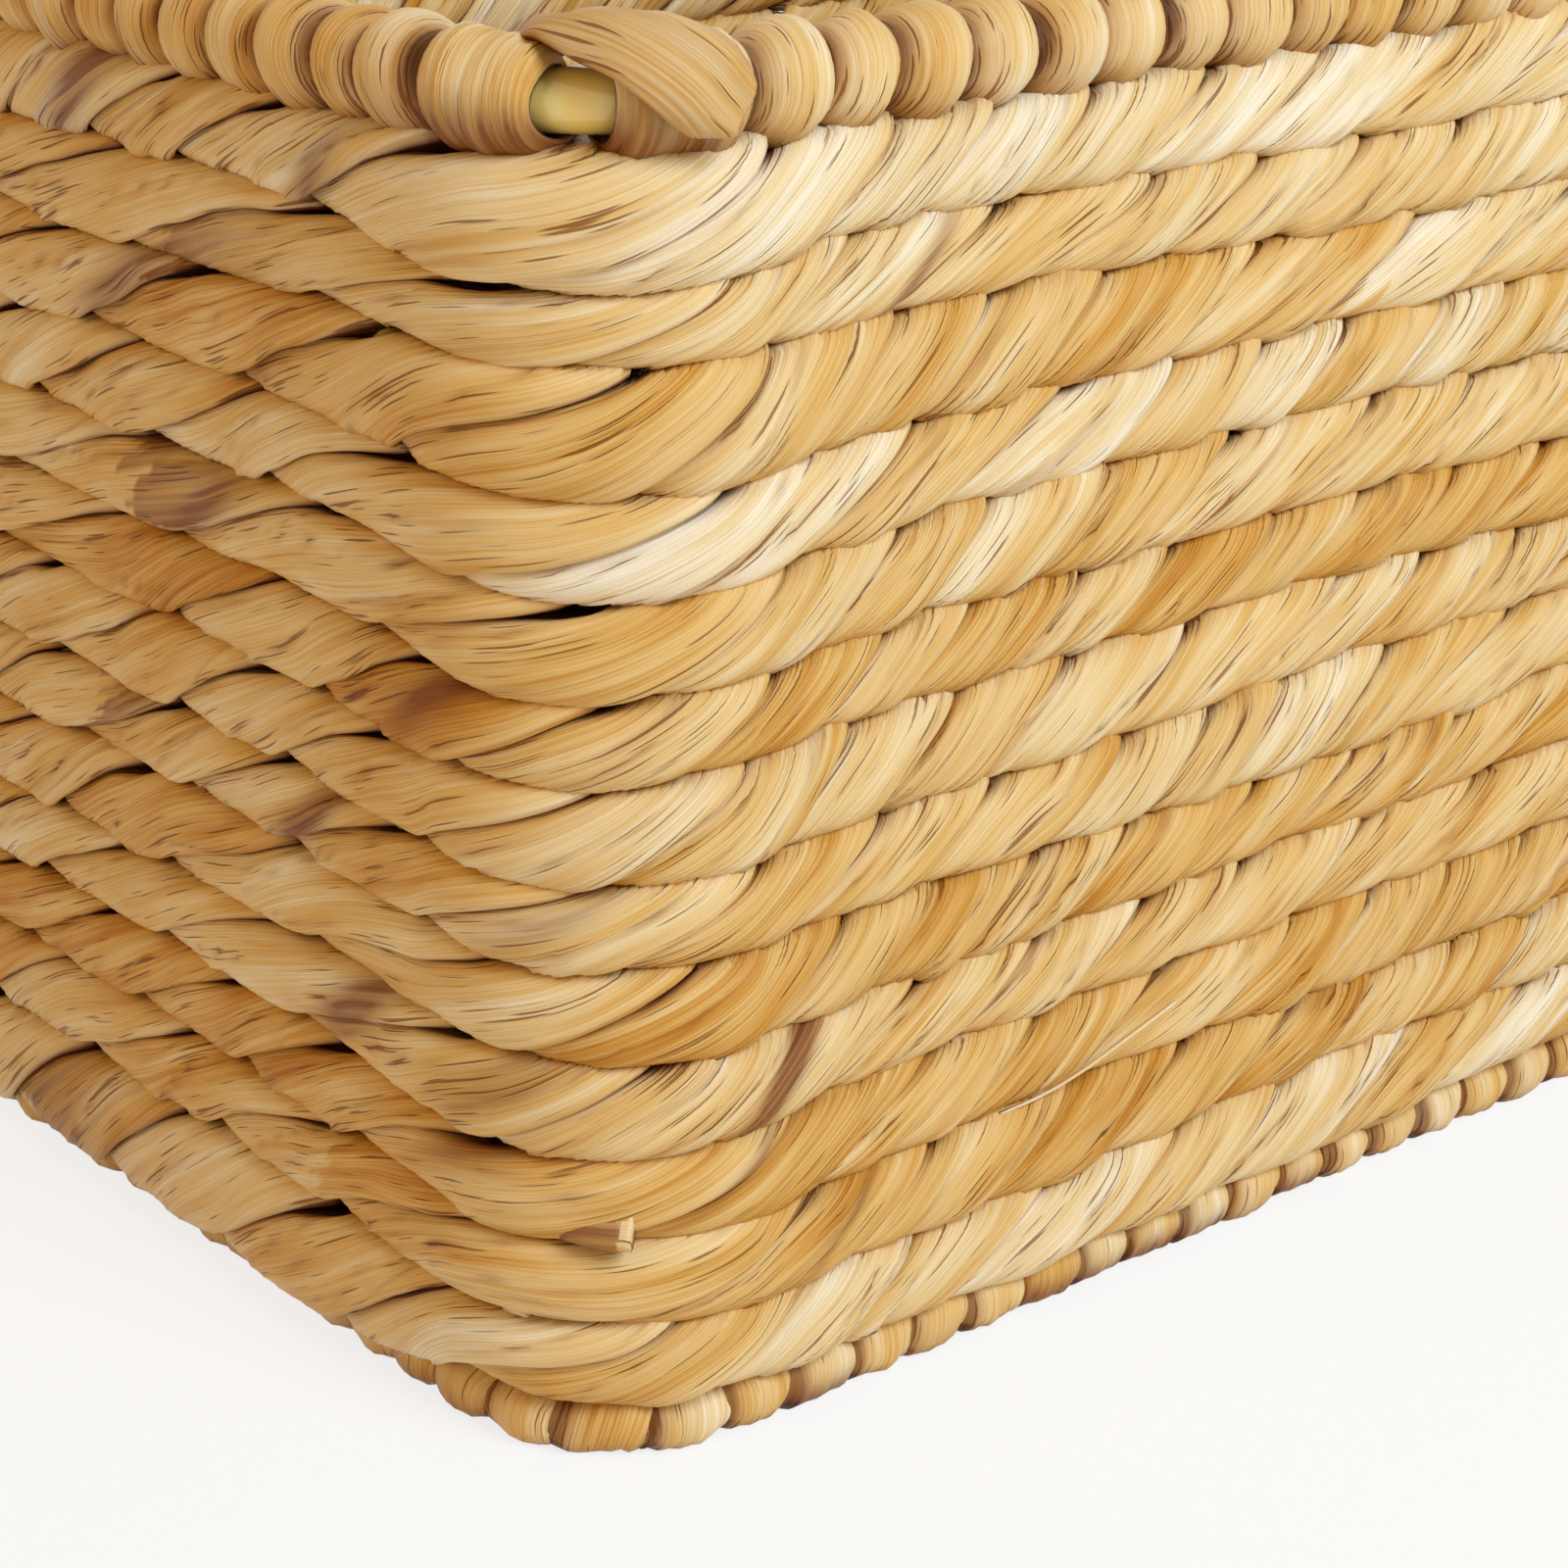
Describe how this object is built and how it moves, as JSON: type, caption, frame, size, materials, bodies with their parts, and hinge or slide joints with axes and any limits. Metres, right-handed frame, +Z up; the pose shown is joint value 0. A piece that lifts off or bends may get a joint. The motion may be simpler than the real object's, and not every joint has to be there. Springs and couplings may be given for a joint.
{
  "type": "bread basket",
  "caption": "Open rectangular bread basket of twined water hyacinth rope on a cane frame, with a bound rim and a bound foot, for serving and keeping bread.",
  "frame": {"origin": "middle of the basket, on the surface that the foot stands on", "axes": "+X along the long side, +Y along the short side towards the back, +Z up through the open top"},
  "size_m": [0.301, 0.2012, 0.1413],
  "materials": {
    "wall_hyacinth": "dried water hyacinth, twisted, satin",
    "base_hyacinth": "dried water hyacinth, twisted and pressed, satin",
    "binding_hyacinth": "dried water hyacinth, wound flat, satin",
    "cane": "peeled cane, semi-gloss"
  },
  "bodies": {
    "root": {"rim_core": "cane", "foot_core": "cane", "front_stakes": "cane", "back_stakes": "cane", "left_stakes": "cane", "right_stakes": "cane", "base_stakes": "cane", "rim_binding_front_right": "binding_hyacinth", "rim_binding_left_back": "binding_hyacinth", "foot_binding": "binding_hyacinth", "wall_row_01": "wall_hyacinth", "wall_row_02": "wall_hyacinth", "wall_row_03": "wall_hyacinth", "wall_row_04": "wall_hyacinth", "wall_row_05": "wall_hyacinth", "wall_row_06": "wall_hyacinth", "wall_row_07": "wall_hyacinth", "wall_row_08": "wall_hyacinth", "wall_row_09": "wall_hyacinth", "wall_row_10": "wall_hyacinth", "wall_row_11": "wall_hyacinth", "wall_row_12": "wall_hyacinth", "wall_row_13": "wall_hyacinth", "base_row_01": "base_hyacinth", "base_row_02": "base_hyacinth", "base_row_03": "base_hyacinth", "base_row_04": "base_hyacinth", "base_row_05": "base_hyacinth", "base_row_06": "base_hyacinth", "base_row_07": "base_hyacinth", "base_row_08": "base_hyacinth", "base_row_09": "base_hyacinth", "base_row_10": "base_hyacinth", "base_row_11": "base_hyacinth", "base_row_12": "base_hyacinth", "base_row_13": "base_hyacinth", "base_row_14": "base_hyacinth", "base_row_15": "base_hyacinth", "base_row_16": "base_hyacinth", "base_row_17": "base_hyacinth", "base_row_18": "base_hyacinth", "base_row_19": "base_hyacinth"}
  },
  "joints": []
}
